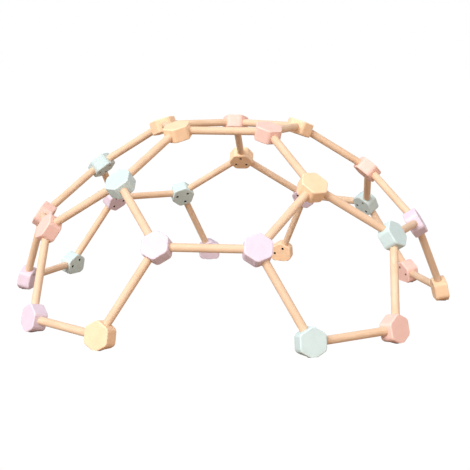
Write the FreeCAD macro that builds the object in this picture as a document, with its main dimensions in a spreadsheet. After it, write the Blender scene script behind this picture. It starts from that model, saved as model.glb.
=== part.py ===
import FreeCAD, Part
import math
import os
import Sketcher
from FreeCAD import Placement, Rotation, Vector

# Wooden dome climber: round rods joined by hexagonal wooden hubs. A five-sided
# ring of short rods is the crown, short spokes and short waist rods run down
# between the openings, and five larger pentagons of longer rods are the sides.
# 30 hubs, 15 short and 25 long rods, one screw for each rod end, one pad under
# each of the ten base hubs. Millimetres. +X is to the right, +Y away, +Z up;
# the floor is z = 0 and the origin is the middle of the footprint.

doc = FreeCAD.newDocument("dome_climber")

# ---------------------------------------------------------------- sizes
SIZES = [
    ("edge_length", 300.0),         # hub centre to hub centre along a short rod
    ("long_edge", 311.0),           # the same along a rod of a side pentagon
    ("rod_diameter", 26.0),
    ("rod_end_gap", 15.5),          # hub centre to the end face of a rod
    ("rod_chamfer", 1.5),
    ("hub_flats", 85.0),            # across the flats of the hexagon
    ("hub_thick", 48.0),
    ("hub_inset", 5.0),             # block middle lies inward of the rod axes
    ("corner_radius", 16.0),        # six upright corners of the block
    ("edge_radius", 4.5),           # edges of the outer and inner face
    ("socket_diameter", 26.3),
    ("screw_offset", 24.7),         # hub axis to screw axis
    ("recess_diameter", 10.4),      # counterbore for the screw head
    ("recess_depth", 3.6),
    ("clear_diameter", 6.6),
    ("clear_depth", 14.0),
    ("pilot_diameter", 6.2),        # hole in the rod
    ("pilot_start", 20.0),          # from the rod axis, inward
    ("pilot_end", 6.5),             # from the rod axis, outward
    ("screw_length", 25.0),
    ("shank_radius", 3.0),
    ("tip_radius", 1.2),
    ("tip_length", 3.0),
    ("head_radius", 4.7),
    ("head_rim", 1.6),
    ("head_height", 3.0),
    ("head_top_radius", 3.3),
    ("key_flats", 4.0),
    ("key_depth", 1.7),
    ("foot_drop", 37.0),            # hub centre down to the flat-cut foot
    ("foot_edge", 2.0),
    ("pad_thick", 3.0),
    ("pad_long", 30.0),             # along the floor, round the dome
    ("pad_wide", 29.0),             # towards the middle of the dome
    ("pad_corner", 7.0),
    ("axis_y", -22.240),            # puts the footprint middle on the origin
]
sheet = doc.addObject("Spreadsheet::Sheet", "Params")
for row, (alias, value) in enumerate(SIZES, start=1):
    sheet.set("A%d" % row, alias)
    sheet.set("B%d" % row, repr(value))
    sheet.setAlias("B%d" % row, alias)
doc.recompute()


def size(alias):
    return float(getattr(sheet, alias))


# ------------------------------------------------------------- geometry
# Lengths here are in short edges; heights are above the base hub centres.
# Crown ring, spokes and waist rods are one short edge long. The side
# pentagons are regular, and their lean makes the six-sided openings flat.
LONG = size("long_edge") / size("edge_length")
GOLD = (1.0 + math.sqrt(5.0)) / 2.0
FIFTH = math.radians(36.0)          # half of a sector
R_CROWN = 0.5 / math.sin(FIFTH)
HALF_WAIST = LONG * GOLD / 2.0      # half the width of a side pentagon
TURN_WAIST = math.atan2(math.sin(FIFTH), 0.5 / HALF_WAIST + math.cos(FIFTH))
R_WAIST = HALF_WAIST / math.sin(TURN_WAIST)
ROW_WAIST = LONG * math.sin(FIFTH)  # down the pentagon, corner to widest line
ROW_BASE = ROW_WAIST + LONG * math.sin(2.0 * FIFTH)


def drop_and_lean(shoulder):
    """Crown to shoulder drop, and slope of the side pentagon as (cos, sin)."""
    drop = math.sqrt(1.0 - (shoulder - R_CROWN) ** 2)
    lean = (R_WAIST * math.cos(TURN_WAIST) - shoulder) / ROW_WAIST
    return drop, lean, math.sqrt(1.0 - lean * lean)


def fold(shoulder):
    """Zero when a six-sided opening is flat."""
    drop, lean, steep = drop_and_lean(shoulder)
    upper = math.cos(FIFTH) * (shoulder - R_CROWN) / drop
    reach = R_WAIST * math.cos(FIFTH - TURN_WAIST) - math.cos(FIFTH) * shoulder
    return upper - reach / (ROW_WAIST * steep)


def solve(low, high):
    for _ in range(80):
        mid = 0.5 * (low + high)
        if fold(mid) < 0.0:
            low = mid
        else:
            high = mid
    return 0.5 * (low + high)


R_SHOULDER = solve(1.62, 1.78)
DROP, LEAN, STEEP = drop_and_lean(R_SHOULDER)
BASE_X = R_SHOULDER + ROW_BASE * LEAN
TURN_BASE = math.degrees(math.atan2(LONG / 2.0, BASE_X))
TURN_WAIST = math.degrees(TURN_WAIST)
R_BASE = math.hypot(BASE_X, LONG / 2.0)
Z_SHOULDER = ROW_BASE * STEEP
Z_WAIST = Z_SHOULDER - ROW_WAIST * STEEP
Z_CROWN = Z_SHOULDER + DROP

SECTORS = [("front_left", -126.0), ("front_right", -54.0), ("right", 18.0),
           ("back", 90.0), ("left", 162.0)]


def polar(r, degrees, z):
    a = math.radians(degrees)
    return Vector(r * math.cos(a), r * math.sin(a), z)


HUBS = {}
for sector, turn in SECTORS:
    HUBS["crown_hub_" + sector] = polar(R_CROWN, turn, Z_CROWN)
    HUBS["shoulder_hub_" + sector] = polar(R_SHOULDER, turn, Z_SHOULDER)
    # lh and rh as seen from outside the dome
    HUBS["waist_hub_" + sector + "_lh"] = polar(R_WAIST, turn - TURN_WAIST, Z_WAIST)
    HUBS["waist_hub_" + sector + "_rh"] = polar(R_WAIST, turn + TURN_WAIST, Z_WAIST)
    HUBS["base_hub_" + sector + "_lh"] = polar(R_BASE, turn - TURN_BASE, 0.0)
    HUBS["base_hub_" + sector + "_rh"] = polar(R_BASE, turn + TURN_BASE, 0.0)

# every rod as (hub, hub); the second list holds the rods between two
# six-sided openings, which set how each block is turned
RODS = {}
ACROSS = set()
SHORT = set()
BRIDGES = ["front", "right_front", "right_back", "left_back", "left_front"]
for k, (sector, turn) in enumerate(SECTORS):
    following = SECTORS[(k + 1) % 5][0]
    RODS["crown_ring_" + sector] = ("crown_hub_" + sector, "crown_hub_" + following)
    RODS["spoke_" + sector] = ("crown_hub_" + sector, "shoulder_hub_" + sector)
    RODS["waist_" + BRIDGES[k]] = ("waist_hub_" + sector + "_rh",
                                   "waist_hub_" + following + "_lh")
    RODS["base_" + sector] = ("base_hub_" + sector + "_lh", "base_hub_" + sector + "_rh")
    for hand in ("lh", "rh"):
        RODS["upper_side_" + sector + "_" + hand] = (
            "shoulder_hub_" + sector, "waist_hub_" + sector + "_" + hand)
        RODS["lower_side_" + sector + "_" + hand] = (
            "waist_hub_" + sector + "_" + hand, "base_hub_" + sector + "_" + hand)
    ACROSS.add("spoke_" + sector)
    ACROSS.add("waist_" + BRIDGES[k])
    SHORT.update(("crown_ring_" + sector, "spoke_" + sector, "waist_" + BRIDGES[k]))

for rod, (a, b) in RODS.items():
    want = 1.0 if rod in SHORT else LONG
    assert abs((HUBS[a] - HUBS[b]).Length - want) < 1e-9, rod


def unit(v):
    return v * (1.0 / v.Length)


def neighbours(hub):
    found = []
    for rod, (a, b) in RODS.items():
        if hub in (a, b):
            other = b if hub == a else a
            found.append((rod, unit(HUBS[other] - HUBS[hub])))
    return found


def outward(hub):
    """The block's axis: all rods of a hub dip below its face by one angle. A
    base block is drilled like a waist block, with its third socket left out."""
    d = [x for rod, x in neighbours(hub)]
    if len(d) == 3:
        n = unit((d[1] - d[0]).cross(d[2] - d[0]))
        return n if n.dot(d[0]) < 0 else n * -1.0
    waist = "waist" + hub[len("base"):]
    dip = outward(waist).dot(neighbours(waist)[0][1])
    n = unit(d[0].cross(d[1]))
    n = n if n.z > 0 else n * -1.0
    inner = unit(d[0] + d[1])
    a = dip / inner.dot(d[0])
    return inner * a + n * math.sqrt(1.0 - a * a)


OUT = {hub: outward(hub) for hub in HUBS}


def frame_of(z_axis, x_hint):
    z_axis = unit(z_axis)
    x_axis = unit(x_hint - z_axis * x_hint.dot(z_axis))
    return Rotation(x_axis, z_axis.cross(x_axis), z_axis, "ZXY")


def hub_frame(hub):
    out = OUT[hub]
    rods = neighbours(hub)
    if len(rods) == 3:
        hint = [d for rod, d in rods if rod in ACROSS][0]
    else:
        flat = [unit(d - out * d.dot(out)) for rod, d in rods]
        hint = (flat[0] + flat[1]) * -1.0
    return frame_of(out, hint)


# ---------------------------------------------------------------- helpers
def plane(body, role="XY_Plane"):
    return [f for f in body.Origin.OriginFeatures if f.Role == role][0]


def bind_base(obj, prop, terms):
    """Drive a placement's position: a sum of direction vector times size."""
    for axis in "xyz":
        parts = ["%.10f * (%s)" % (getattr(v, axis), text)
                 for v, text in terms if abs(getattr(v, axis)) > 1e-9]
        obj.setExpression(prop + ".Base." + axis, " + ".join(parts) if parts else None)


def new_body(label, terms=None, turn=None):
    body = doc.addObject("PartDesign::Body", "b_" + label)
    body.Label = label
    body.AllowCompound = True
    body.Placement = Placement(Vector(), turn or Rotation())
    if terms:
        bind_base(body, "Placement", terms)
    return body


def new_sketch(body, name, terms, turn=None):
    sketch = body.newObject("Sketcher::SketchObject", name)
    sketch.AttachmentSupport = [(plane(body), "")]
    sketch.MapMode = "FlatFace"
    sketch.AttachmentOffset = Placement(Vector(), turn or Rotation())
    bind_base(sketch, "AttachmentOffset", terms)
    return sketch


def drive(sketch, constraint, text):
    index = sketch.addConstraint(constraint)
    sketch.setExpression("Constraints[%d]" % index, text)
    return index


def circle_at(sketch, alias, x=0.0, y=0.0, xtext=None, ytext=None):
    g = sketch.addGeometry(Part.Circle(Vector(x, y, 0), Vector(0, 0, 1), size(alias) / 2.0))
    if xtext is None:
        sketch.addConstraint(Sketcher.Constraint("Coincident", g, 3, -1, 1))
    else:
        drive(sketch, Sketcher.Constraint("DistanceX", -1, 1, g, 3, x), xtext)
        if ytext is None:
            sketch.addConstraint(Sketcher.Constraint("PointOnObject", g, 3, -1))
        else:
            drive(sketch, Sketcher.Constraint("DistanceY", -1, 1, g, 3, y), ytext)
    drive(sketch, Sketcher.Constraint("Diameter", g, size(alias)), "Params." + alias)


def hexagon(sketch, alias):
    """Hexagon about the origin with a flat facing +X."""
    across = size(alias)
    r = across / math.sqrt(3.0)
    pts = [Vector(r * math.cos(math.radians(60 * i - 30)),
                  r * math.sin(math.radians(60 * i - 30)), 0) for i in range(6)]
    for i in range(6):
        sketch.addGeometry(Part.LineSegment(pts[i], pts[(i + 1) % 6]))
    ring = sketch.addGeometry(Part.Circle(Vector(), Vector(0, 0, 1), r), True)
    sketch.addConstraint(Sketcher.Constraint("Coincident", ring, 3, -1, 1))
    for i in range(6):
        sketch.addConstraint(Sketcher.Constraint("Coincident", i, 2, (i + 1) % 6, 1))
        sketch.addConstraint(Sketcher.Constraint("PointOnObject", i, 1, ring))
    for i in range(1, 6):
        sketch.addConstraint(Sketcher.Constraint("Equal", 0, i))
    sketch.addConstraint(Sketcher.Constraint("Vertical", 0))
    drive(sketch, Sketcher.Constraint("Diameter", ring, 2 * r),
          "2 * Params.%s / sqrt(3)" % alias)


def rounded_rectangle(sketch, long_alias, wide_alias, radius_alias):
    hx, hy, r = size(long_alias) / 2, size(wide_alias) / 2, size(radius_alias)
    corners = [(hx, hy), (-hx, hy), (-hx, -hy), (hx, -hy)]
    lines, arcs = [], []
    spans = [((hx - r, hy), (-hx + r, hy)), ((-hx, hy - r), (-hx, -hy + r)),
             ((-hx + r, -hy), (hx - r, -hy)), ((hx, -hy + r), (hx, hy - r))]
    for a, b in spans:
        lines.append(sketch.addGeometry(Part.LineSegment(Vector(a[0], a[1], 0),
                                                         Vector(b[0], b[1], 0))))
    starts = [90, 180, 270, 0]
    centres = [(-hx + r, hy - r), (-hx + r, -hy + r), (hx - r, -hy + r), (hx - r, hy - r)]
    for c, s in zip(centres, starts):
        arcs.append(sketch.addGeometry(Part.ArcOfCircle(
            Part.Circle(Vector(c[0], c[1], 0), Vector(0, 0, 1), r),
            math.radians(s), math.radians(s + 90))))
    for i in range(4):
        sketch.addConstraint(Sketcher.Constraint("Tangent", lines[i], 2, arcs[i], 1))
        sketch.addConstraint(Sketcher.Constraint("Tangent", arcs[i], 2, lines[(i + 1) % 4], 1))
    for i in (1, 2, 3):
        sketch.addConstraint(Sketcher.Constraint("Equal", arcs[0], arcs[i]))
    sketch.addConstraint(Sketcher.Constraint("Horizontal", lines[0]))
    sketch.addConstraint(Sketcher.Constraint("Vertical", lines[1]))
    sketch.addConstraint(Sketcher.Constraint("Symmetric", arcs[0], 3, arcs[2], 3, -1, 1))
    drive(sketch, Sketcher.Constraint("Radius", arcs[0], r), "Params." + radius_alias)
    drive(sketch, Sketcher.Constraint("Distance", lines[0], 2 * (hx - r)),
          "Params.%s - 2 * Params.%s" % (long_alias, radius_alias))
    drive(sketch, Sketcher.Constraint("Distance", lines[1], 2 * (hy - r)),
          "Params.%s - 2 * Params.%s" % (wide_alias, radius_alias))


def half_profile(sketch, points):
    """Closed outline for a turned piece; each point is (x, y, x text, y text)
    and None as x text keeps the point on the turning axis."""
    n = len(points)
    for i in range(n):
        a, b = points[i], points[(i + 1) % n]
        sketch.addGeometry(Part.LineSegment(Vector(a[0], a[1], 0), Vector(b[0], b[1], 0)))
    for i in range(n):
        sketch.addConstraint(Sketcher.Constraint("Coincident", i, 2, (i + 1) % n, 1))
    for i, (x, y, xtext, ytext) in enumerate(points):
        if xtext is None:
            sketch.addConstraint(Sketcher.Constraint("PointOnObject", i, 1, -2))
        else:
            drive(sketch, Sketcher.Constraint("DistanceX", -1, 1, i, 1, x), xtext)
        if ytext is None:
            sketch.addConstraint(Sketcher.Constraint("PointOnObject", i, 1, -1))
        else:
            drive(sketch, Sketcher.Constraint("DistanceY", -1, 1, i, 1, y), ytext)


def pad(body, name, profile, text):
    f = body.newObject("PartDesign::Pad", name)
    f.Profile = profile
    f.setExpression("Length", text)
    return f


def pocket(body, name, profile, text, backwards=False):
    """A pocket cuts against the sketch normal, or along it if backwards."""
    f = body.newObject("PartDesign::Pocket", name)
    f.Profile = profile
    f.Reversed = backwards
    f.setExpression("Length", text)
    return f


def rounded(body, name, base, edges, alias):
    f = body.newObject("PartDesign::Fillet", name)
    f.Base = (base, edges)
    f.setExpression("Radius", "Params." + alias)
    body.Tip = f
    return f


def edge_names(shape, wanted):
    return ["Edge%d" % (i + 1) for i, e in enumerate(shape.Edges) if wanted(e)]


def toward(d):
    return Rotation(Vector(0, 0, 1), d)


LIFT = [(Vector(0, 0, 1), "Params.foot_drop + Params.pad_thick")]
SHIFT = [(Vector(0, 1, 0), "Params.axis_y")]


# ------------------------------------------------------------------- rods
def add_rod(body, name, at, turn, outs, edge_text):
    """One rod in a body: x along the rod, z outward. at is the middle of the
    rod as terms, turn its direction, outs the axes of the blocks at its low
    and high end, edge_text its hub spacing."""
    x_axis = turn.multVec(Vector(1, 0, 0))
    start = at + [(x_axis * -1.0, edge_text + " / 2 - Params.rod_end_gap")]
    profile = new_sketch(body, name + "_section", start,
                         turn.multiply(Rotation(Vector(0, 0, 1), Vector(1, 0, 0))))
    circle_at(profile, "rod_diameter")
    bar = pad(body, name + "_bar", profile, edge_text + " - 2 * Params.rod_end_gap")
    doc.recompute()
    ends = edge_names(bar.Shape, lambda e: isinstance(e.Curve, Part.Circle))
    edge = body.newObject("PartDesign::Chamfer", name + "_ends")
    edge.Base = (bar, ends)
    edge.setExpression("Size", "Params.rod_chamfer")
    for side, sign, out in (("low", -1.0, outs[0]), ("high", 1.0, outs[1])):
        flat = math.sqrt(1.0 - x_axis.dot(out) ** 2)
        reach = edge_text + " / 2 - Params.screw_offset / %.10f" % flat
        sk = new_sketch(body, name + "_pilot_" + side,
                        at + [(x_axis * sign, reach), (out * -1.0, "Params.pilot_start")],
                        toward(out))
        circle_at(sk, "pilot_diameter")
        last = pocket(body, name + "_hole_" + side, sk,
                      "Params.pilot_start + Params.pilot_end", backwards=True)
    return last


def rod_frame(rod, back=None):
    """Middle, direction, block axes at both ends, and length of a rod; back
    turns them into the frame of a turned body."""
    a, b = RODS[rod]
    middle = (HUBS[a] + HUBS[b]) * 0.5
    along = unit(HUBS[b] - HUBS[a])
    top = OUT[a] + OUT[b]
    turn = frame_of(top - along * top.dot(along), along)
    outs = [OUT[a], OUT[b]]
    if back:
        middle, turn = back.multVec(middle), back.multiply(turn)
        outs = [back.multVec(v) for v in outs]
    return middle, turn, outs, "Params.edge_length" if rod in SHORT else "Params.long_edge"


def single_rod(label, rod):
    middle, turn, outs, edge_text = rod_frame(rod)
    body = new_body(label, [(middle, "Params.edge_length")] + LIFT + SHIFT, turn)
    back = turn.inverted()
    body.Tip = add_rod(body, "rod", [], Rotation(), [back.multVec(v) for v in outs], edge_text)
    return body


def rod_pair(label, sector, turn_deg, rod):
    """Two mirror-image rods of one sector."""
    spin = Rotation(Vector(0, 0, 1), turn_deg)
    body = new_body(label, LIFT + SHIFT, spin)
    middle, turn, outs, edge_text = rod_frame(rod, spin.inverted())
    add_rod(body, "rod", [(middle, "Params.edge_length")], turn, outs, edge_text)
    both = body.newObject("PartDesign::Mirrored", "both_sides")
    both.TransformMode = "Whole shape"
    both.MirrorPlane = (plane(body, "XZ_Plane"), [""])
    body.Tip = both
    return body


def five_fold(body, features=None):
    """Repeat a one-solid body, or the given features, in all five sectors."""
    ring = body.newObject("PartDesign::PolarPattern", "five_sectors")
    if features:
        ring.Originals = features
    else:
        ring.TransformMode = "Whole shape"
    ring.Axis = (plane(body, "Z_Axis"), [""])
    ring.Angle = 360
    ring.Occurrences = 5
    body.Tip = ring
    return ring


nodes = []
ring = new_body("crown_ring_rods", LIFT + SHIFT)
first = "crown_ring_" + SECTORS[0][0]
middle, turn, outs, edge_text = rod_frame(first)
add_rod(ring, "rod", [(middle, "Params.edge_length")], turn, outs, edge_text)
five_fold(ring)
nodes.append(ring)
for k, (sector, turn_deg) in enumerate(SECTORS):
    nodes.append(single_rod("spoke_rod_" + sector, "spoke_" + sector))
    nodes.append(rod_pair("upper_side_rods_" + sector, sector, turn_deg,
                          "upper_side_" + sector + "_rh"))
    nodes.append(single_rod("waist_rod_" + BRIDGES[k], "waist_" + BRIDGES[k]))
    nodes.append(rod_pair("lower_side_rods_" + sector, sector, turn_deg,
                          "lower_side_" + sector + "_rh"))
    nodes.append(single_rod("base_rod_" + sector, "base_" + sector))


# ------------------------------------------------------------------- hubs
def make_hub(hub):
    turn = hub_frame(hub)
    back = turn.inverted()
    body = new_body(hub, [(HUBS[hub], "Params.edge_length")] + LIFT + SHIFT, turn)
    inner = [(Vector(0, 0, -1), "Params.hub_inset + Params.hub_thick / 2")]
    sk = new_sketch(body, "block_outline", inner)
    hexagon(sk, "hub_flats")
    block = pad(body, "block", sk, "Params.hub_thick")
    doc.recompute()
    base = rounded(body, "block_corners", block, edge_names(
        block.Shape, lambda e: abs(e.tangentAt(e.FirstParameter).z) > 0.99), "corner_radius")
    doc.recompute()
    base = rounded(body, "block_edges", base, edge_names(
        base.Shape, lambda e: e.BoundBox.ZLength < 0.01), "edge_radius")
    rods = neighbours(hub)
    if len(rods) == 2:
        # the lowest corner is cut level, to stand on the floor
        down = back.multVec(Vector(0, 0, -1))
        sk = new_sketch(body, "foot_outline", [(down, "Params.foot_drop")],
                        toward(down * -1.0))
        g = sk.addGeometry(Part.Circle(Vector(), Vector(0, 0, 1), size("hub_flats")))
        sk.addConstraint(Sketcher.Constraint("Coincident", g, 3, -1, 1))
        drive(sk, Sketcher.Constraint("Radius", g, size("hub_flats")), "Params.hub_flats")
        cut = pocket(body, "foot_cut", sk, "Params.hub_flats")
        doc.recompute()
        level = size("foot_drop")
        faces = [f for f in cut.Shape.Faces if isinstance(f.Surface, Part.Plane)
                 and abs(f.CenterOfMass.dot(down) - level) < 0.01]
        rim = [e for f in faces for e in f.Edges]
        base = rounded(body, "foot_edges", cut, edge_names(
            cut.Shape, lambda e: any(e.isSame(x) for x in rim)), "foot_edge")
    flat = []
    for i, (rod, d) in enumerate(rods):
        d = back.multVec(d)
        flat.append(unit(Vector(d.x, d.y, 0)))
        sk = new_sketch(body, "socket_section_%d" % i, [(d, "Params.rod_end_gap")], toward(d))
        circle_at(sk, "socket_diameter")
        pocket(body, "socket_%d" % i, sk, "Params.hub_flats", backwards=True)
    for name, alias, depth in (("screw_recess", "recess_diameter", "recess_depth"),
                               ("screw_way", "clear_diameter", "clear_depth")):
        for i, d in enumerate(flat):
            sk = new_sketch(body, "%s_outline_%d" % (name, i),
                            inner + [(d, "Params.screw_offset")])
            circle_at(sk, alias)
            last = pocket(body, "%s_%d" % (name, i), sk, "Params." + depth, backwards=True)
    body.Tip = last
    return body


for hub in HUBS:
    nodes.append(make_hub(hub))


# ----------------------------------------------------------------- screws
def add_screw(body, name, hub, d):
    """One screw: tip towards the outside, head sunk in the inner face."""
    out = OUT[hub]
    flat = unit(d - out * d.dot(out))
    tip = "Params.screw_length + Params.recess_depth - Params.hub_inset - Params.hub_thick / 2"
    at = [(HUBS[hub], "Params.edge_length"), (flat, "Params.screw_offset"), (out, tip)]
    # sketch y runs from the tip to the head
    turn = Rotation(flat, out * -1.0, flat.cross(out * -1.0), "YXZ")
    sk = new_sketch(body, name + "_profile", at, turn)
    length, neck, top = size("screw_length"), size("head_rim"), size("head_height")
    half_profile(sk, [
        (0.0, 0.0, None, None),
        (size("tip_radius"), 0.0, "Params.tip_radius", None),
        (size("shank_radius"), size("tip_length"), "Params.shank_radius", "Params.tip_length"),
        (size("shank_radius"), length, "Params.shank_radius", "Params.screw_length"),
        (size("head_radius"), length, "Params.head_radius", "Params.screw_length"),
        (size("head_radius"), length + neck, "Params.head_radius",
         "Params.screw_length + Params.head_rim"),
        (size("head_top_radius"), length + top, "Params.head_top_radius",
         "Params.screw_length + Params.head_height"),
        (0.0, length + top, None, "Params.screw_length + Params.head_height"),
    ])
    turned = body.newObject("PartDesign::Revolution", name + "_turned")
    turned.Profile = sk
    turned.ReferenceAxis = (sk, ["V_Axis"])
    turned.Angle = 360
    key = new_sketch(body, name + "_key",
                     at + [(out * -1.0, "Params.screw_length + Params.head_height")],
                     toward(out * -1.0))
    hexagon(key, "key_flats")
    return [turned, pocket(body, name + "_socket", key, "Params.key_depth")]


def screws(label, kinds):
    body = new_body(label, LIFT + SHIFT)
    features = []
    for kind in kinds:
        for rod, d in neighbours(kind):
            features += add_screw(body, "screw_%d" % (len(features) // 2), kind, d)
    five_fold(body, features)
    return body, 5 * len(features) // 2


first = SECTORS[0][0]
groups = [
    screws("upper_hub_screws", ["crown_hub_" + first, "shoulder_hub_" + first]),
    screws("waist_hub_screws", ["waist_hub_" + first + "_lh", "waist_hub_" + first + "_rh"]),
    screws("base_hub_screws", ["base_hub_" + first + "_lh", "base_hub_" + first + "_rh"]),
]
nodes += [g[0] for g in groups]


# ------------------------------------------------------------------- pads
# One pad under each base hub of the first sector, then all five sectors. The
# block leans back, so the middle of its foot lies outward of the hub centre
# by the lean and inward by the inset.
pads = new_body("base_pads", SHIFT)
slabs = []
for hand in ("lh", "rh"):
    hub = "base_hub_" + SECTORS[0][0] + "_" + hand
    out = OUT[hub]
    flat = unit(Vector(out.x, out.y, 0))
    side = Vector(-flat.y, flat.x, 0)
    level = math.hypot(out.x, out.y)
    sk = new_sketch(pads, "pad_outline_" + hand,
                    [(Vector(HUBS[hub].x, HUBS[hub].y, 0), "Params.edge_length"),
                     (flat * (out.z / level), "Params.foot_drop"),
                     (flat * (-1.0 / level), "Params.hub_inset")],
                    Rotation(side, flat * -1.0, Vector(0, 0, 1), "XYZ"))
    rounded_rectangle(sk, "pad_long", "pad_wide", "pad_corner")
    slabs.append(pad(pads, "pad_" + hand, sk, "Params.pad_thick"))
five_fold(pads, slabs)
nodes.append(pads)

doc.recompute()

# ------------------------------------------------------------------ checks
for obj in doc.Objects:
    bad = [s for s in obj.State if s in ("Invalid", "Error")]
    assert not bad, (obj.Name, obj.Label, bad)

expected = {"crown_ring_rods": 5, "base_pads": 10}
for body, count in groups:
    expected[body.Label] = count
box = FreeCAD.BoundBox()
for node in nodes:
    shape = node.Shape
    assert not shape.isNull() and shape.isValid(), node.Label
    want = expected.get(node.Label, 2 if "side_rods" in node.Label else 1)
    assert len(shape.Solids) == want, (node.Label, len(shape.Solids), want)
    tight = shape.optimalBoundingBox(False, False) if hasattr(shape, "optimalBoundingBox") \
        else shape.BoundBox
    box.add(tight)
print("nodes", len(nodes), "box", [round(v, 3) for v in (
    box.XMin, box.YMin, box.ZMin, box.XMax, box.YMax, box.ZMax)],
    "middle", round((box.XMin + box.XMax) / 2, 4), round((box.YMin + box.YMax) / 2, 4))

# a socket, screw recess and foot must take wood away, so compare volumes
by_label = {n.Label: n.Shape.Volume for n in nodes}
full = size("hub_flats") ** 2 * math.sqrt(3.0) / 2.0 * size("hub_thick")
for hub in HUBS:
    assert 0.45 * full < by_label[hub] < 0.85 * full, (hub, by_label[hub] / full)
for kind in ("crown_hub_back", "shoulder_hub_back", "waist_hub_back_lh", "base_hub_back_lh"):
    print(kind, "axis height", round(OUT[kind].z, 4), "dip",
          round(math.degrees(math.asin(-OUT[kind].dot(neighbours(kind)[0][1]))), 3))
print("rings", [round(v, 5) for v in (R_CROWN, R_SHOULDER, R_WAIST, R_BASE, Z_CROWN,
                                      Z_SHOULDER, Z_WAIST, TURN_WAIST, TURN_BASE)])
print("hub volume", round(by_label["crown_hub_front_left"]),
      "base hub", round(by_label["base_hub_front_left_lh"]),
      "rod", round(by_label["base_rod_back"]),
      "screw", round(by_label["waist_hub_screws"] / 30, 1))

# ------------------------------------------------------------------ export
os.makedirs("parts", exist_ok=True)
for node in nodes:
    node.Shape.exportStep(os.path.join("parts", node.Label + ".step"))
print("written", len(nodes))
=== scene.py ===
import math
import random

import bmesh
import bpy
from mathutils import Matrix, Vector


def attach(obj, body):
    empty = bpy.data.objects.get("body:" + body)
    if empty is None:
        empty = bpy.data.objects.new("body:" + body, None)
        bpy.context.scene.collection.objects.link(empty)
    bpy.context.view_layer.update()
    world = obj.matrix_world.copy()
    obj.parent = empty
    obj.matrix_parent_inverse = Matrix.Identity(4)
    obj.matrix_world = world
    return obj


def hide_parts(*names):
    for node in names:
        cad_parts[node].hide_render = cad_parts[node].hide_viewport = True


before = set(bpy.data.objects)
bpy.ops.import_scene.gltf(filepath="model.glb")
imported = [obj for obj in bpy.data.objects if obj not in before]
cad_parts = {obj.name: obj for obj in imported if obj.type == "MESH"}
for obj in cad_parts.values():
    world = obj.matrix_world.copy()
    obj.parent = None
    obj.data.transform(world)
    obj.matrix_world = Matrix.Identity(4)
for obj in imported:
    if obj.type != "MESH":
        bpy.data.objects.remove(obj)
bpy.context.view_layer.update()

MM = 0.001
EDGE = 300 * MM                 # hub centre to hub centre, short rods
LONG = 311.0 / 300.0            # the rods of the side pentagons, in short edges
LIFT = 40 * MM                  # base hub centres above the floor
AXIS_Y = -22.24 * MM           # the dome's own axis
ROD_R = 13 * MM
ROD_GAP = 15.5 * MM             # hub centre to rod end
FLATS = 84.75 * MM
HALF_THICK = 24 * MM
INSET = 5 * MM
CORNER_R = 16 * MM
EDGE_R = 4.5 * MM
SOCKET_R = 13.15 * MM
SCREW_OFF = 24.7 * MM
FOOT_DROP = 37 * MM

# --------------------------------------------------------------- geometry
GOLD = (1.0 + math.sqrt(5.0)) / 2.0
FIFTH = math.radians(36.0)
R_CROWN = 0.5 / math.sin(FIFTH)
HALF_WAIST = LONG * GOLD / 2.0
TURN_WAIST = math.atan2(math.sin(FIFTH), 0.5 / HALF_WAIST + math.cos(FIFTH))
R_WAIST = HALF_WAIST / math.sin(TURN_WAIST)
ROW_WAIST = LONG * math.sin(FIFTH)
ROW_BASE = ROW_WAIST + LONG * math.sin(2.0 * FIFTH)


def drop_and_lean(shoulder):
    drop = math.sqrt(1.0 - (shoulder - R_CROWN) ** 2)
    lean = (R_WAIST * math.cos(TURN_WAIST) - shoulder) / ROW_WAIST
    return drop, lean, math.sqrt(1.0 - lean * lean)


def fold(shoulder):
    """Zero when a six-sided opening is flat."""
    drop, lean, steep = drop_and_lean(shoulder)
    upper = math.cos(FIFTH) * (shoulder - R_CROWN) / drop
    reach = R_WAIST * math.cos(FIFTH - TURN_WAIST) - math.cos(FIFTH) * shoulder
    return upper - reach / (ROW_WAIST * steep)


low, high = 1.62, 1.78
for _ in range(80):
    R_SHOULDER = 0.5 * (low + high)
    if fold(R_SHOULDER) < 0.0:
        low = R_SHOULDER
    else:
        high = R_SHOULDER
DROP, LEAN, STEEP = drop_and_lean(R_SHOULDER)
BASE_X = R_SHOULDER + ROW_BASE * LEAN
TURN_BASE = math.degrees(math.atan2(LONG / 2.0, BASE_X))
TURN_WAIST = math.degrees(TURN_WAIST)
R_BASE = math.hypot(BASE_X, LONG / 2.0)
Z_SHOULDER = ROW_BASE * STEEP
Z_WAIST = Z_SHOULDER - ROW_WAIST * STEEP
Z_CROWN = Z_SHOULDER + DROP
SECTORS = [("front_left", -126.0), ("front_right", -54.0), ("right", 18.0),
           ("back", 90.0), ("left", 162.0)]
BRIDGES = ["front", "right_front", "right_back", "left_back", "left_front"]


def polar(r, degrees, z):
    a = math.radians(degrees)
    return Vector((0, AXIS_Y, LIFT)) + EDGE * Vector((r * math.cos(a), r * math.sin(a), z))


HUBS = {}
for sector, turn in SECTORS:
    HUBS["crown_hub_" + sector] = polar(R_CROWN, turn, Z_CROWN)
    HUBS["shoulder_hub_" + sector] = polar(R_SHOULDER, turn, Z_SHOULDER)
    for hand, sign in (("_lh", -1), ("_rh", 1)):
        HUBS["waist_hub_" + sector + hand] = polar(R_WAIST, turn + sign * TURN_WAIST, Z_WAIST)
        HUBS["base_hub_" + sector + hand] = polar(R_BASE, turn + sign * TURN_BASE, 0.0)

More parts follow.
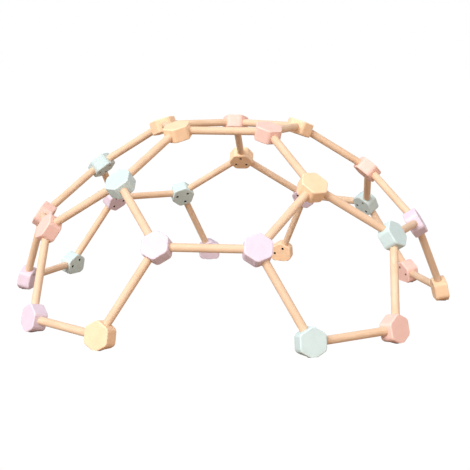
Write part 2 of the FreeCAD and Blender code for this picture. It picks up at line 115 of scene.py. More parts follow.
RODS = {}                        # node -> list of (hub, hub, spans two big openings)
RODS["crown_ring_rods"] = []
for k, (sector, turn) in enumerate(SECTORS):
    after = SECTORS[(k + 1) % 5][0]
    RODS["crown_ring_rods"].append(("crown_hub_" + sector, "crown_hub_" + after, False))
    RODS["spoke_rod_" + sector] = [("crown_hub_" + sector, "shoulder_hub_" + sector, True)]
    RODS["waist_rod_" + BRIDGES[k]] = [("waist_hub_" + sector + "_rh",
                                        "waist_hub_" + after + "_lh", True)]
    RODS["base_rod_" + sector] = [("base_hub_" + sector + "_lh",
                                   "base_hub_" + sector + "_rh", False)]
    for kind, top, low in (("upper", "shoulder_hub_", "waist_hub_"),
                           ("lower", "waist_hub_", "base_hub_")):
        RODS[kind + "_side_rods_" + sector] = [
            (top + sector + ("" if kind == "upper" else "_" + hand),
             low + sector + "_" + hand, False) for hand in ("lh", "rh")]


def frame_of(z_axis, x_hint, origin):
    z = z_axis.normalized()
    x = (x_hint - z * x_hint.dot(z)).normalized()
    y = z.cross(x)
    return Matrix(((x.x, y.x, z.x, origin.x), (x.y, y.y, z.y, origin.y),
                   (x.z, y.z, z.z, origin.z), (0, 0, 0, 1)))


def neighbours(hub):
    found = []
    for rods in RODS.values():
        for a, b, across in rods:
            if hub in (a, b):
                found.append(((HUBS[b if hub == a else a] - HUBS[hub]).normalized(), across))
    return found


def outward(hub):
    """The block's axis; all rods of a block dip below its face by one angle."""
    d = [x for x, across in neighbours(hub)]
    if len(d) == 3:
        n = (d[1] - d[0]).cross(d[2] - d[0]).normalized()
        return n if n.dot(d[0]) < 0 else -n
    waist = "waist" + hub[len("base"):]
    dip = outward(waist).dot(neighbours(waist)[0][0])
    n = d[0].cross(d[1]).normalized()
    n = n if n.z > 0 else -n
    inner = (d[0] + d[1]).normalized()
    a = dip / inner.dot(d[0])
    return inner * a + n * math.sqrt(1.0 - a * a)


OUT = {hub: outward(hub) for hub in HUBS}


def hub_matrix(hub):
    out = OUT[hub]
    rods = neighbours(hub)
    if len(rods) == 3:
        hint = [d for d, across in rods if across][0]
    else:
        flat = [(d - out * d.dot(out)).normalized() for d, across in rods]
        hint = -(flat[0] + flat[1])
    return frame_of(out, hint, HUBS[hub])


# ------------------------------------------------------------ mesh helpers
def new_object(name, mesh):
    ob = bpy.data.objects.new(name, mesh)
    bpy.context.scene.collection.objects.link(ob)
    return ob


def mesh_from(name, bm):
    bmesh.ops.recalc_face_normals(bm, faces=bm.faces[:])
    mesh = bpy.data.meshes.new(name)
    bm.to_mesh(mesh)
    bm.free()
    return mesh


def skin(bm, rings, closed_ends=True):
    """Join rings of equal point count into one closed surface."""
    loops = [[bm.verts.new(p) for p in ring] for ring in rings]
    n = len(loops[0])
    for a, b in zip(loops, loops[1:]):
        for i in range(n):
            bm.faces.new((a[i], a[(i + 1) % n], b[(i + 1) % n], b[i]))
    if closed_ends:
        bm.faces.new(list(reversed(loops[0])))
        bm.faces.new(loops[-1])


def turned(name, profile, segments):
    """Closed turned piece about Z; profile is (radius, z) from bottom to top."""
    bm = bmesh.new()
    rings = [[Vector((r * math.cos(2 * math.pi * i / segments),
                      r * math.sin(2 * math.pi * i / segments), z))
              for i in range(segments)] for r, z in profile]
    skin(bm, rings)
    return mesh_from(name, bm)


def turn_to(d, origin):
    return Matrix.Translation(origin) @ Vector((0, 0, 1)).rotation_difference(d).to_matrix().to_4x4()


def cut(mesh, cutters):
    """mesh minus every cutter mesh, as a new mesh."""
    body = new_object("cut_body", mesh)
    tools = []
    for m in cutters:
        tool = new_object("cut_tool", m)
        tools.append(tool)
        mod = body.modifiers.new("cut", "BOOLEAN")
        mod.operation = "DIFFERENCE"
        mod.solver = "EXACT"
        mod.object = tool
    deps = bpy.context.evaluated_depsgraph_get()
    deps.update()
    made = bpy.data.meshes.new_from_object(body.evaluated_get(deps))
    for ob in [body] + tools:
        old = ob.data
        bpy.data.objects.remove(ob)
        bpy.data.meshes.remove(old)
    return made


def soften(mesh, wanted, width, segments=2):
    """Round the edges that wanted() picks."""
    bm = bmesh.new()
    bm.from_mesh(mesh)
    bmesh.ops.remove_doubles(bm, verts=bm.verts[:], dist=0.02 * MM)
    edges = [e for e in bm.edges if len(e.link_faces) == 2
             and e.calc_face_angle(0) > math.radians(33) and wanted(e)]
    bmesh.ops.bevel(bm, geom=edges, offset=width, offset_type="OFFSET", segments=segments,
                    profile=0.5, affect="EDGES", clamp_overlap=True)
    bmesh.ops.dissolve_degenerate(bm, edges=bm.edges[:], dist=0.005 * MM)
    bmesh.ops.recalc_face_normals(bm, faces=bm.faces[:])
    bm.to_mesh(mesh)
    bm.free()
    return mesh


def even_shading(mesh):
    """Smooth shading that leaves flat faces flat."""
    mesh.polygons.foreach_set("use_smooth", [True] * len(mesh.polygons))
    mesh.set_sharp_from_angle(angle=math.radians(33))
    ob = new_object("shade", mesh)
    mod = ob.modifiers.new("w", "WEIGHTED_NORMAL")
    mod.keep_sharp = True
    mod.weight = 80
    deps = bpy.context.evaluated_depsgraph_get()
    deps.update()
    made = bpy.data.meshes.new_from_object(ob.evaluated_get(deps))
    bpy.data.objects.remove(ob)
    bpy.data.meshes.remove(mesh)
    return made


def keep_local(mesh):
    """The piece's own coordinates in millimetres, for grain, edge wear and a painted edge highlight.
    """
    att = mesh.attributes.new("local_mm", "FLOAT_VECTOR", "POINT")
    att.data.foreach_set("vector", [c / MM for v in mesh.vertices for c in v.co])
    seed = mesh.attributes.new("piece_seed", "FLOAT", "POINT")
    seed.data.foreach_set("value", [0.0] * len(mesh.vertices))
    return mesh


def joined(name, parts):
    """One mesh from copies of prototype meshes: parts is [(mesh, matrix, seed)]."""
    coords, faces, smooth, normals, local, seeds = [], [], [], [], [], []
    base = 0
    for mesh, matrix, seed in parts:
        spin = matrix.to_3x3()
        coords += [matrix @ v.co for v in mesh.vertices]
        local += [tuple(a.vector) for a in mesh.attributes["local_mm"].data]
        seeds += [seed] * len(mesh.vertices)
        for p in mesh.polygons:
            faces.append([base + i for i in p.vertices])
        normals += [spin @ n.vector for n in mesh.corner_normals]
        base += len(mesh.vertices)
    made = bpy.data.meshes.new(name)
    made.from_pydata([tuple(c) for c in coords], [], faces)
    made.polygons.foreach_set("use_smooth", [True] * len(made.polygons))
    made.normals_split_custom_set([tuple(n) for n in normals])
    att = made.attributes.new("local_mm", "FLOAT_VECTOR", "POINT")
    att.data.foreach_set("vector", [c for v in local for c in v])
    att = made.attributes.new("piece_seed", "FLOAT", "POINT")
    att.data.foreach_set("value", seeds)
    made.update()
    return made


# ---------------------------------------------------------------- blocks
def block_outline(inset, z):
    """Rounded hexagon, flat facing +X, drawn in by inset."""
    pts = []
    reach = (FLATS / 2 - CORNER_R) / math.cos(math.radians(30))
    for corner in range(6):
        a = math.radians(60 * corner + 30)
        centre = Vector((reach * math.cos(a), reach * math.sin(a), z))
        for i in range(9):
            t = a + math.radians(-30 + 60 * i / 8)
            pts.append(centre + (CORNER_R - inset) * Vector((math.cos(t), math.sin(t), 0)))
    return pts


def block_mesh():
    low, high = -INSET - HALF_THICK, -INSET + HALF_THICK - 0.1 * MM
    steps = 7
    rings = []
    for i in range(steps + 1):
        t = math.radians(90 * i / steps)
        rings.append(block_outline(EDGE_R * (1 - math.sin(t)), low + EDGE_R * (1 - math.cos(t))))
    for i in range(steps, -1, -1):
        t = math.radians(90 * i / steps)
        rings.append(block_outline(EDGE_R * (1 - math.sin(t)), high - EDGE_R * (1 - math.cos(t))))
    bm = bmesh.new()
    skin(bm, rings)
    return mesh_from("block", bm)


def hex_distance(p):
    c, s = math.cos(math.radians(60)), math.sin(math.radians(60))
    return max(abs(p.x), abs(c * p.x + s * p.y), abs(c * p.x - s * p.y))


def hub_mesh(hub):
    into = hub_matrix(hub).inverted().to_3x3()
    low = -INSET - HALF_THICK
    cutters = []
    for d, across in neighbours(hub):
        d = into @ d
        flat = Vector((d.x, d.y, 0)).normalized()
        socket = turned("socket", [(SOCKET_R, 0), (SOCKET_R, 60 * MM)], 64)
        socket.transform(turn_to(d, d * ROD_GAP))
        recess = turned("recess", [(5.2 * MM, -4 * MM), (5.2 * MM, 3.6 * MM)], 40)
        recess.transform(Matrix.Translation(flat * SCREW_OFF + Vector((0, 0, low))))
        way = turned("way", [(3.3 * MM, -4 * MM), (3.3 * MM, 14 * MM)], 32)
        way.transform(Matrix.Translation(flat * SCREW_OFF + Vector((0, 0, low))))
        cutters += [socket, recess, way]
    down = None
    if len(cutters) == 6:
        down = into @ Vector((0, 0, -1))
        foot = turned("foot", [(120 * MM, 0), (120 * MM, 60 * MM)], 32)
        foot.transform(turn_to(down, down * FOOT_DROP))
        cutters.insert(0, foot)
    mesh = cut(block_mesh(), cutters)
    side, face = FLATS / 2 - 0.05 * MM, low + 0.05 * MM

    def outside(e):
        points = [v.co for v in e.verts]
        return (all(hex_distance(p) > side for p in points) or all(p.z < face for p in points)
                or (down is not None and all(p.dot(down) > FOOT_DROP - 0.05 * MM for p in points)))

    mesh = soften(mesh, outside, 0.6 * MM)
    return keep_local(even_shading(mesh))


# ------------------------------------------------------------------ rods
def rod_mesh(length, outs):
    """Along X; outs are the axes of the blocks at its low and high end."""
    half = length / 2 - ROD_GAP
    profile = [(ROD_R - 1.5 * MM, -half), (ROD_R - 0.35 * MM, -half + 1.15 * MM),
               (ROD_R, -half + 1.9 * MM)]
    steps = 18
    for i in range(1, steps):
        profile.append((ROD_R, -half + 1.9 * MM + (2 * half - 3.8 * MM) * i / steps))
    profile += [(r, -z) for r, z in reversed(profile[:3])]
    mesh = turned("rod", profile, 56)
    mesh.transform(Matrix(((0, 0, 1, 0), (0, 1, 0, 0), (-1, 0, 0, 0), (0, 0, 0, 1))))
    cutters = []
    for sign, out in ((-1, outs[0]), (1, outs[1])):
        at = Vector((sign * (length / 2 - SCREW_OFF / math.sqrt(1.0 - out.x ** 2)), 0, 0))
        hole = turned("pilot", [(3.1 * MM, -20 * MM), (3.1 * MM, 6.5 * MM)], 28)
        hole.transform(turn_to(out, at))
        cutters.append(hole)
    return keep_local(even_shading(cut(mesh, cutters)))


def screw_mesh():
    """Tip at the origin, head towards +Z."""
    mm = MM
    profile = [(0.5 * mm, 0), (1.2 * mm, 0.3 * mm), (3.0 * mm, 3.0 * mm), (3.0 * mm, 25 * mm),
               (4.45 * mm, 25 * mm), (4.7 * mm, 25.25 * mm), (4.7 * mm, 26.4 * mm),
               (4.55 * mm, 27.0 * mm), (4.2 * mm, 27.5 * mm), (3.7 * mm, 27.85 * mm),
               (3.2 * mm, 28.0 * mm)]
    mesh = turned("screw", profile, 36)
    key = turned("key", [(4.0 / math.sqrt(3) * mm, 26.3 * mm), (4.0 / math.sqrt(3) * mm, 30 * mm)], 6)
    mesh = cut(mesh, [key])
    top = 27.95 * mm
    mesh = soften(mesh, lambda e: all(v.co.z > top for v in e.verts), 0.15 * mm, 1)
    return keep_local(even_shading(mesh))


def pad_mesh():
    hx, hy, r, t, e = 15 * MM, 14.5 * MM, 7 * MM, 3 * MM, 0.7 * MM
    rings = []
    for z, inset in ((0, e), (0.25 * e, 0.25 * e), (e, 0), (t - e, 0),
                     (t - 0.25 * e, 0.25 * e), (t, e)):
        ring = []
        for cx, cy, start in ((hx - r, hy - r, 0), (-hx + r, hy - r, 90),
                              (-hx + r, -hy + r, 180), (hx - r, -hy + r, 270)):
            for i in range(9):
                a = math.radians(start + 90 * i / 8)
                ring.append(Vector((cx + (r - inset) * math.cos(a),
                                    cy + (r - inset) * math.sin(a), z)))
        rings.append(ring)
    bm = bmesh.new()
    skin(bm, rings)
    return keep_local(even_shading(mesh_from("pad", bm)))


# -------------------------------------------------------------- materials
class Tree:
    """Short-hand for building a material's nodes."""

    def __init__(self, name):
        self.mat = bpy.data.materials.new(name)
        self.mat.use_nodes = True
        self.nodes = self.mat.node_tree.nodes
        self.links = self.mat.node_tree.links
        self.nodes.clear()
        self.out = self.nodes.new("ShaderNodeOutputMaterial")
        self.bsdf = self.nodes.new("ShaderNodeBsdfPrincipled")
        self.links.new(self.bsdf.outputs["BSDF"], self.out.inputs["Surface"])

    def put(self, value, socket):
        if hasattr(value, "is_output"):
            self.links.new(value, socket)
        elif value is not None:
            socket.default_value = value

    def math(self, op, a, b=None, c=None, clamp=False):
        n = self.nodes.new("ShaderNodeMath")
        n.operation = op
        n.use_clamp = clamp
        for i, v in enumerate((a, b, c)):
            if v is not None:
                self.put(v, n.inputs[i])
        return n.outputs[0]

    def vector(self, op, a, b=None, scale=None):
        n = self.nodes.new("ShaderNodeVectorMath")
        n.operation = op
        self.put(a, n.inputs[0])
        if b is not None:
            self.put(b, n.inputs[1])
        if scale is not None:
            self.put(scale, n.inputs["Scale"])
        return n.outputs["Value"] if op in ("DOT_PRODUCT", "LENGTH", "DISTANCE") else n.outputs[0]

    def split(self, v):
        n = self.nodes.new("ShaderNodeSeparateXYZ")
        self.put(v, n.inputs[0])
        return n.outputs[0], n.outputs[1], n.outputs[2]

    def join(self, x, y, z):
        n = self.nodes.new("ShaderNodeCombineXYZ")
        for v, s in zip((x, y, z), n.inputs):
            self.put(v, s)
        return n.outputs[0]

    def attribute(self, name, kind):
        n = self.nodes.new("ShaderNodeAttribute")
        n.attribute_name = name
        return n.outputs["Vector" if kind == "vector" else "Fac"]

    def noise(self, v, scale=1.0, detail=3.0, rough=0.5, distortion=0.0):
        n = self.nodes.new("ShaderNodeTexNoise")
        self.put(v, n.inputs["Vector"])
        n.inputs["Scale"].default_value = scale
        n.inputs["Detail"].default_value = detail
        n.inputs["Roughness"].default_value = rough
        n.inputs["Distortion"].default_value = distortion
        return n.outputs["Fac"]

    def ramp(self, fac, stops):
        n = self.nodes.new("ShaderNodeValToRGB")
        self.put(fac, n.inputs[0])
        while len(n.color_ramp.elements) < len(stops):
            n.color_ramp.elements.new(0.5)
        for e, (p, c) in zip(n.color_ramp.elements, stops):
            e.position = p
            e.color = (c[0], c[1], c[2], 1.0) if hasattr(c, "__len__") else (c, c, c, 1.0)
        return n.outputs["Color"]

    def smooth(self, v, low, high, a=0.0, b=1.0):
        n = self.nodes.new("ShaderNodeMapRange")
        n.interpolation_type = "SMOOTHSTEP"
        self.put(v, n.inputs["Value"])
        n.inputs["From Min"].default_value = low
        n.inputs["From Max"].default_value = high
        n.inputs["To Min"].default_value = a
        n.inputs["To Max"].default_value = b
        return n.outputs["Result"]

    def mix(self, fac, a, b, kind="MIX"):
        n = self.nodes.new("ShaderNodeMix")
        n.data_type = "RGBA"
        n.blend_type = kind
        self.put(fac, n.inputs[0])
        for v, s in ((a, n.inputs[6]), (b, n.inputs[7])):
            if isinstance(v, tuple):
                v = (v[0], v[1], v[2], 1.0)
            self.put(v, s)
        return n.outputs[2]

    def bump(self, height_value, distance, strength=1.0, normal=None):
        n = self.nodes.new("ShaderNodeBump")
        n.inputs["Strength"].default_value = strength
        n.inputs["Distance"].default_value = distance
        self.put(height_value, n.inputs["Height"])
        if normal is not None:
            self.links.new(normal, n.inputs["Normal"])
        return n.outputs[0]


def srgb(r, g, b):
    """Display colour 0-255 to linear."""
    out = []
    for c in (r, g, b):
        c = c / 255.0
        out.append(c / 12.92 if c <= 0.04045 else ((c + 0.055) / 1.055) ** 2.4)
    return tuple(out)


def own_place(t, spread):
    """The piece's coordinates, moved apart for each piece."""
    p = t.attribute("local_mm", "vector")
    seed = t.attribute("piece_seed", "value")
    return p, seed, t.vector("ADD", p, t.vector("SCALE", spread, scale=seed))


def wood_material():
    t = Tree("rod_wood")
    p, seed, q = own_place(t, (311.0, 47.0, 83.0))
    x, y, z = t.split(q)
    # slow wander of the grain along the rod
    wander = t.noise(t.join(t.math("MULTIPLY", x, 0.004), t.math("MULTIPLY", y, 0.02),
                            t.math("MULTIPLY", z, 0.02)), detail=2.0)
    # year rings: lines across the section, bent by the wander
    turn = t.math("MULTIPLY", seed, 2.399)
    px, py, pz = t.split(p)
    across = t.math("ADD", t.math("MULTIPLY", py, t.math("COSINE", turn)),
                    t.math("MULTIPLY", pz, t.math("SINE", turn)))
    depth = t.math("SUBTRACT", t.math("MULTIPLY", pz, t.math("COSINE", turn)),
                   t.math("MULTIPLY", py, t.math("SINE", turn)))
    bow = t.math("MULTIPLY", t.math("MULTIPLY", depth, depth), 0.011)
    place = t.math("ADD", t.math("ADD", across, bow), t.math("MULTIPLY", wander, 18.0))
    ring = t.math("FRACT", t.math("MULTIPLY", place, 0.34))
    late = t.math("MULTIPLY", t.smooth(ring, 0.2, 0.9), t.smooth(ring, 0.9, 1.0, 1.0, 0.0))
    # fibres and short dark flecks
    fibre = t.noise(t.join(t.math("MULTIPLY", x, 0.03), t.math("MULTIPLY", y, 1.5),
                           t.math("MULTIPLY", z, 1.5)), detail=6.0, rough=0.65)
    fleck = t.noise(t.join(t.math("MULTIPLY", x, 0.16), t.math("MULTIPLY", y, 2.6),
                           t.math("MULTIPLY", z, 2.6)), detail=2.0, rough=0.5)
    fleck = t.smooth(fleck, 0.68, 0.76)
    broad = t.noise(t.vector("SCALE", q, scale=0.017), detail=2.0)
    tone = t.math("ADD", t.math("MULTIPLY", late, 0.26),
                  t.math("MULTIPLY", fibre, 0.62))
    colour = t.ramp(tone, [(0.12, WOOD_TONES[0]), (0.42, WOOD_TONES[1]),
                           (0.68, WOOD_TONES[2]), (0.95, WOOD_TONES[3])])
    colour = t.mix(t.math("MULTIPLY", fleck, 0.3), colour, WOOD_TONES[4])
    # each rod is cut from another board
    shade = t.math("FRACT", t.math("MULTIPLY", seed, 0.618))
    colour = t.mix(t.math("MULTIPLY", shade, 0.3), colour, WOOD_TONES[0])
    colour = t.mix(t.smooth(broad, 0.42, 0.75, 0.0, 0.22), colour, WOOD_TONES[3])
    t.put(colour, t.bsdf.inputs["Base Color"])
    t.put(t.math("ADD", 0.46, t.math("ADD", t.math("MULTIPLY", fibre, 0.18),
                                     t.math("MULTIPLY", fleck, 0.2))),
          t.bsdf.inputs["Roughness"])
    relief = t.math("SUBTRACT", t.math("MULTIPLY", fibre, 0.6),
                    t.math("ADD", fleck, t.math("MULTIPLY", late, 0.25)))
    t.put(t.bump(relief, 0.00004, 0.22), t.bsdf.inputs["Normal"])
    t.bsdf.inputs["Specular IOR Level"].default_value = 0.4
    return t.mat


def paint_material(name, colour, deep, light):
    t = Tree(name)
    p, seed, q = own_place(t, (57.0, 91.0, 23.0))
    x, y, z = t.split(p)
    # how far out of the block's rounded outline a point lies, in millimetres
    c, s = math.cos(math.radians(60)), math.sin(math.radians(60))
    ax = t.math("ABSOLUTE", x)
    bx = t.math("ABSOLUTE", t.math("ADD", t.math("MULTIPLY", x, c), t.math("MULTIPLY", y, s)))
    cx = t.math("ABSOLUTE", t.math("SUBTRACT", t.math("MULTIPLY", x, c), t.math("MULTIPLY", y, s)))
    side = t.math("MAXIMUM", ax, t.math("MAXIMUM", bx, cx))
    third = t.math("MINIMUM", ax, t.math("MINIMUM", bx, cx))
    second = t.math("SUBTRACT", t.math("SUBTRACT", t.math("ADD", ax, t.math("ADD", bx, cx)),
                                       side), third)
    core = (FLATS / 2 - CORNER_R) / MM
    a = t.math("MAXIMUM", t.math("SUBTRACT", side, core), 0.0)
    b = t.math("MAXIMUM", t.math("SUBTRACT", second, core), t.math("MULTIPLY", a, 0.5))
    square = t.math("SUBTRACT", t.math("ADD", t.math("MULTIPLY", a, a), t.math("MULTIPLY", b, b)),
                    t.math("MULTIPLY", a, b))
    reach = t.math("SQRT", t.math("MAXIMUM", t.math("MULTIPLY", square, 4.0 / 3.0), 0.0))
    u = t.math("MAXIMUM", t.math("SUBTRACT", reach, (CORNER_R - EDGE_R) / MM), 0.0)
    face = t.math("ABSOLUTE", t.math("ADD", z, INSET / MM))
    w = t.math("MAXIMUM", t.math("SUBTRACT", face, (HALF_THICK - EDGE_R) / MM), 0.0)
    under = t.math("SUBTRACT", EDGE_R / MM, t.vector("LENGTH", t.join(u, w, 0.0)))
    # rims and corners made lighter below: partly thinner paint, partly a painted highlight
    rim = t.smooth(t.math("MINIMUM", u, w), 0.5, 2.6)
    corner = t.smooth(t.math("SUBTRACT", b, t.math("MULTIPLY", a, 0.5)), 2.0, 6.5, 0.0, 0.45)
    edge_wear_and_highlight = t.math("MAXIMUM", rim, corner)
    # grain of the block under the paint
    gx, gy, gz = t.split(q)
    grain = t.noise(t.join(t.math("MULTIPLY", gx, 0.035), t.math("MULTIPLY", gy, 0.75),
                           t.math("MULTIPLY", gz, 0.75)), detail=5.0, rough=0.62)
    stipple = t.noise(t.vector("SCALE", q, scale=1.3), detail=2.0, rough=0.6)
    cloud = t.noise(t.vector("SCALE", q, scale=0.035), detail=3.0)
    rub = t.noise(t.vector("SCALE", q, scale=0.17), detail=4.0, rough=0.65)
    tone = t.mix(t.smooth(cloud, 0.3, 0.7), deep, colour)
    tone = t.mix(t.smooth(grain, 0.35, 0.8, 0.0, 0.22), tone, light)
    # paint lies thinner on the rounded edges, and the lighter edges are also a painted highlight
    thin_paint_and_highlight = t.math("MULTIPLY", edge_wear_and_highlight, t.smooth(rub, 0.3, 0.7, 0.35, 0.75))
    tone = t.mix(thin_paint_and_highlight, tone, light)
    # bare wood in the sockets and screw holes
    wood = t.mix(grain, WOOD_TONES[1], WOOD_TONES[3])
    inside = t.smooth(under, 0.35, 0.9)
    tone = t.mix(t.math("MULTIPLY", inside, 0.9), tone, wood)
    t.put(tone, t.bsdf.inputs["Base Color"])
    rough = t.math("ADD", t.math("MULTIPLY", cloud, 0.12), t.math("MULTIPLY", stipple, 0.08))
    t.put(t.math("ADD", t.math("ADD", 0.42, rough), t.math("MULTIPLY", inside, 0.2)),
          t.bsdf.inputs["Roughness"])
    relief = t.math("ADD", t.math("MULTIPLY", grain, 0.8), t.math("MULTIPLY", stipple, 0.28))
    t.put(t.bump(relief, 0.00005, 0.25), t.bsdf.inputs["Normal"])
    t.bsdf.inputs["Specular IOR Level"].default_value = 0.42
    return t.mat


def screw_material():
    t = Tree("black_screw")
    p, seed, q = own_place(t, (17.0, 29.0, 11.0))
    fine = t.noise(t.vector("SCALE", q, scale=2.4), detail=4.0, rough=0.6)
    broad = t.noise(t.vector("SCALE", q, scale=0.5), detail=2.0)
    t.put(t.ramp(fine, [(0.3, srgb(30, 27, 26)), (0.7, srgb(58, 53, 50))]),
          t.bsdf.inputs["Base Color"])
    t.put(t.math("ADD", 0.34, t.math("MULTIPLY", broad, 0.3)), t.bsdf.inputs["Roughness"])
    t.bsdf.inputs["Metallic"].default_value = 0.85
    t.put(t.bump(fine, 0.00002, 0.5), t.bsdf.inputs["Normal"])
    return t.mat


def pad_material():
    t = Tree("foot_pad")
    p, seed, q = own_place(t, (13.0, 7.0, 5.0))
    fine = t.noise(t.vector("SCALE", q, scale=1.8), detail=5.0, rough=0.7)
    broad = t.noise(t.vector("SCALE", q, scale=0.12), detail=2.0)
    tone = t.ramp(fine, [(0.3, srgb(58, 38, 30)), (0.72, srgb(96, 68, 54))])
    t.put(t.mix(t.smooth(broad, 0.4, 0.8, 0.0, 0.4), tone, srgb(120, 92, 76)),
          t.bsdf.inputs["Base Color"])
    t.bsdf.inputs["Roughness"].default_value = 0.9
    t.put(t.bump(fine, 0.0003, 0.6), t.bsdf.inputs["Normal"])
    t.bsdf.inputs["Specular IOR Level"].default_value = 0.25
    return t.mat


# pale to dark, then the flecks
WOOD_TONES = [(0.83, 0.615, 0.445), (0.79, 0.56, 0.385), (0.72, 0.47, 0.30),
              (0.56, 0.325, 0.18), (0.34, 0.175, 0.09)]
WOOD = wood_material()
PAINTS = {
    "yellow": paint_material("paint_yellow", (0.95, 0.66, 0.43), (0.93, 0.62, 0.39),
                             (0.97, 0.75, 0.54)),
    "pink": paint_material("paint_pink", (0.89, 0.575, 0.50), (0.86, 0.54, 0.465),
                           (0.94, 0.68, 0.61)),
    "blue": paint_material("paint_blue", (0.60, 0.73, 0.735), (0.57, 0.695, 0.70),
                           (0.70, 0.82, 0.83)),
    "lilac": paint_material("paint_lilac", (0.76, 0.635, 0.74), (0.73, 0.595, 0.70),
                            (0.84, 0.73, 0.82)),
}
SCREW = screw_material()
PAD = pad_material()

COLOURS = {
    "crown": {"front_left": "yellow", "front_right": "pink", "right": "yellow",
              "back": "pink", "left": "yellow"},
    "shoulder": {"front_left": "blue", "front_right": "yellow", "right": "pink",
                 "back": "yellow", "left": "blue"},
    "waist": {"front_left_rh": "lilac", "front_right_lh": "lilac", "front_right_rh": "blue",
              "right_lh": "lilac", "right_rh": "blue", "back_lh": "lilac", "back_rh": "blue",
              "left_lh": "lilac", "left_rh": "pink", "front_left_lh": "pink"},
    "base": {"front_left_rh": "yellow", "front_left_lh": "lilac", "front_right_lh": "blue",
             "front_right_rh": "pink", "right_lh": "yellow", "right_rh": "pink",
             "back_lh": "yellow", "back_rh": "lilac", "left_lh": "blue", "left_rh": "lilac"},
}


def add_piece(name, mesh, material, node):
    ob = new_object(name, mesh)
    mesh.materials.clear()
    mesh.materials.append(material)
    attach(ob, "root")
    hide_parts(node)
    return ob


# ----------------------------------------------------------------- pieces
rng = random.Random(7)
blocks = {}
for hub in HUBS:
    ring, place = hub.split("_hub_")
    kind = ring + hub[-3:] if ring in ("waist", "base") else ring
    if kind not in blocks:
        blocks[kind] = hub_mesh(hub)
    colour = COLOURS[ring][place]
    mesh = joined(hub + "_block", [(blocks[kind], hub_matrix(hub), rng.uniform(0, 40))])
    add_piece(hub + "_block", mesh, PAINTS[colour], hub)

for node, rods in RODS.items():
    parts = []
    for a, b, across in rods:
        if rng.random() < 0.5:
            a, b = b, a
        middle, along = (HUBS[a] + HUBS[b]) / 2, (HUBS[b] - HUBS[a]).normalized()
        top = OUT[a] + OUT[b]
        matrix = frame_of(top - along * top.dot(along), along, middle)
        back = matrix.to_3x3().inverted()
        rod = rod_mesh((HUBS[b] - HUBS[a]).length, (back @ OUT[a], back @ OUT[b]))
        parts.append((rod, matrix, rng.uniform(0, 40)))
    add_piece(node + "_wood", joined(node + "_wood", parts), WOOD, node)
    for rod, matrix, seed in parts:
        bpy.data.meshes.remove(rod)

screw = screw_mesh()
groups = {"upper_hub_screws": ("crown", "shoulder"), "waist_hub_screws": ("waist",),
          "base_hub_screws": ("base",)}
for node, rings in groups.items():
    parts = []
    for hub in HUBS:
        if hub.split("_hub_")[0] not in rings:
            continue
        m = hub_matrix(hub)
        spin = m.to_3x3()
        for d, across in neighbours(hub):
            flat = spin.inverted() @ d
            flat = Vector((flat.x, flat.y, 0)).normalized()
            tip = Vector((0, 0, -INSET - HALF_THICK + 3.6 * MM + 25 * MM)) + flat * SCREW_OFF
            # head towards the inside; each key socket is left at its own angle
            turn = Matrix.Rotation(math.pi, 4, "X") @ Matrix.Rotation(rng.uniform(0, 6.28), 4, "Z")
            parts.append((screw, m @ Matrix.Translation(tip) @ turn, rng.uniform(0, 40)))
    add_piece(node + "_metal", joined(node + "_metal", parts), SCREW, node)

pad = pad_mesh()
parts = []
for hub in HUBS:
    if hub.startswith("base"):
        out = OUT[hub]
        level = math.hypot(out.x, out.y)
        flat = Vector((out.x, out.y, 0)) / level
        at = HUBS[hub] + flat * (out.z / level * FOOT_DROP - INSET / level)
        at.z = 0
        parts.append((pad, frame_of(Vector((0, 0, 1)), Vector((-flat.y, flat.x, 0)), at),
                      rng.uniform(0, 40)))
add_piece("base_pads_rubber", joined("base_pads_rubber", parts), PAD, "base_pads")
for m in list(blocks.values()) + [screw, pad]:
    bpy.data.meshes.remove(m)

# ------------------------------------------------------------------ stage
bm = bmesh.new()
bmesh.ops.create_circle(bm, cap_ends=True, segments=96, radius=40.0)
floor_mesh = mesh_from("floor", bm)
floor_mesh.transform(Matrix.Translation((0, 0, -0.0002)))
floor = new_object("floor", floor_mesh)
# a lit white ground: it is seen, but sends no light up and takes no shadow
t = Tree("floor_white")
spot = t.noise(t.nodes.new("ShaderNodeTexCoord").outputs["Object"], scale=0.6, detail=2.0)
t.nodes.remove(t.bsdf)
glow = t.nodes.new("ShaderNodeEmission")
t.put(t.ramp(spot, [(0.3, (0.99, 0.99, 0.99)), (0.7, (1.0, 1.0, 1.0))]), glow.inputs["Color"])
glow.inputs["Strength"].default_value = 1.02
t.links.new(glow.outputs[0], t.out.inputs["Surface"])
floor_mesh.materials.append(t.mat)
floor.visible_diffuse = False
floor.visible_glossy = False
floor.visible_shadow = False

# the ground that the object stands on: unseen, it gives warm light from below
# and darkens what stands close to it
ground_mesh = floor_mesh.copy()
ground_mesh.name = "ground"
ground_mesh.transform(Matrix.Translation((0, 0, -0.0002)))
ground = new_object("ground", ground_mesh)
t = Tree("ground_warm")
spot = t.noise(t.nodes.new("ShaderNodeTexCoord").outputs["Object"], scale=0.8, detail=2.0)
t.put(t.ramp(spot, [(0.3, (0.34, 0.25, 0.19)), (0.7, (0.36, 0.27, 0.20))]),
      t.bsdf.inputs["Base Color"])
t.bsdf.inputs["Roughness"].default_value = 0.9
t.bsdf.inputs["Specular IOR Level"].default_value = 0.0
ground_mesh.materials.clear()
ground_mesh.materials.append(t.mat)
ground.visible_camera = False

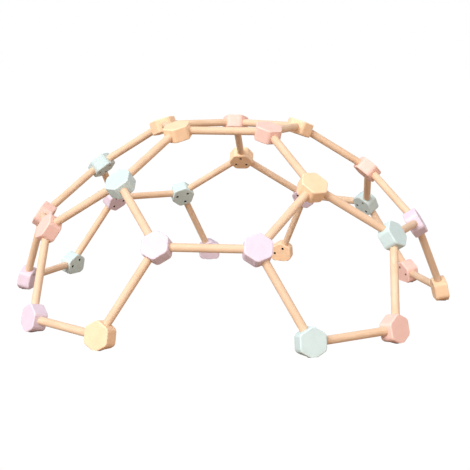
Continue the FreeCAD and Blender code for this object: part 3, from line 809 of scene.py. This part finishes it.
# soft room light: bright above, dim and warm below, white at the horizon
scene = bpy.context.scene
world = bpy.data.worlds.new("studio")
scene.world = world
world.use_nodes = True
tree = world.node_tree
where = tree.nodes.new("ShaderNodeTexCoord")
parts = tree.nodes.new("ShaderNodeSeparateXYZ")
tree.links.new(where.outputs["Generated"], parts.inputs[0])
height = tree.nodes.new("ShaderNodeMapRange")
height.inputs["From Min"].default_value = -1.0
height.inputs["From Max"].default_value = 1.0
tree.links.new(parts.outputs[2], height.inputs["Value"])
sky = tree.nodes.new("ShaderNodeValToRGB")
tree.links.new(height.outputs["Result"], sky.inputs[0])
stops = [(0.0, (0.48, 0.36, 0.275)), (0.44, (0.44, 0.335, 0.255)), (0.475, (1.0, 1.0, 1.0)),
         (0.54, (1.0, 1.0, 1.0)), (0.60, (0.62, 0.64, 0.66)), (1.0, (0.62, 0.64, 0.67))]
while len(sky.color_ramp.elements) < len(stops):
    sky.color_ramp.elements.new(0.5)
for e, (place, colour) in zip(sky.color_ramp.elements, stops):
    e.position = place
    e.color = colour + (1.0,)
shine = tree.nodes["Background"]
tree.links.new(sky.outputs["Color"], shine.inputs["Color"])
shine.inputs["Strength"].default_value = 1.0


def sun_light(name, toward, strength, spread, colour):
    data = bpy.data.lights.new(name, "SUN")
    data.energy = strength
    data.angle = math.radians(spread)
    data.color = colour
    ob = bpy.data.objects.new(name, data)
    scene.collection.objects.link(ob)
    ob.location = Vector(toward) * 4.0
    ob.rotation_euler = Vector(toward).to_track_quat("Z", "Y").to_euler()
    return ob


sun_light("key", (-0.42, -0.70, 0.575), 2.85, 34.0, (1.0, 0.99, 0.97))
sun_light("fill", (0.78, -0.60, 0.12), 0.7, 40.0, (1.0, 0.64, 0.38))

# ----------------------------------------------------------------- camera
cam_data = bpy.data.cameras.new("camera")
cam = bpy.data.objects.new("camera", cam_data)
scene.collection.objects.link(cam)
yaw, pitch, roll = math.radians(-5.297), math.radians(9.651), math.radians(-0.370)
ahead = Vector((math.cos(pitch) * math.sin(yaw), math.cos(pitch) * math.cos(yaw), -math.sin(pitch)))
right = Vector((math.cos(yaw), -math.sin(yaw), 0))
down = ahead.cross(right)
right2 = math.cos(roll) * right + math.sin(roll) * down
down2 = -math.sin(roll) * right + math.cos(roll) * down
at = Vector((1.212 * EDGE, -12.2177 * EDGE + AXIS_Y, 2.7264 * EDGE + LIFT))
cam.matrix_world = Matrix(((right2.x, -down2.x, -ahead.x, at.x),
                           (right2.y, -down2.y, -ahead.y, at.y),
                           (right2.z, -down2.z, -ahead.z, at.z), (0, 0, 0, 1)))
cam_data.sensor_width = 36.0
cam_data.lens = 1059.9 / 470.0 * 36.0
cam_data.clip_start = 0.05
cam_data.clip_end = 100.0
scene.camera = cam

scene.view_settings.view_transform = "Standard"
scene.view_settings.look = "None"
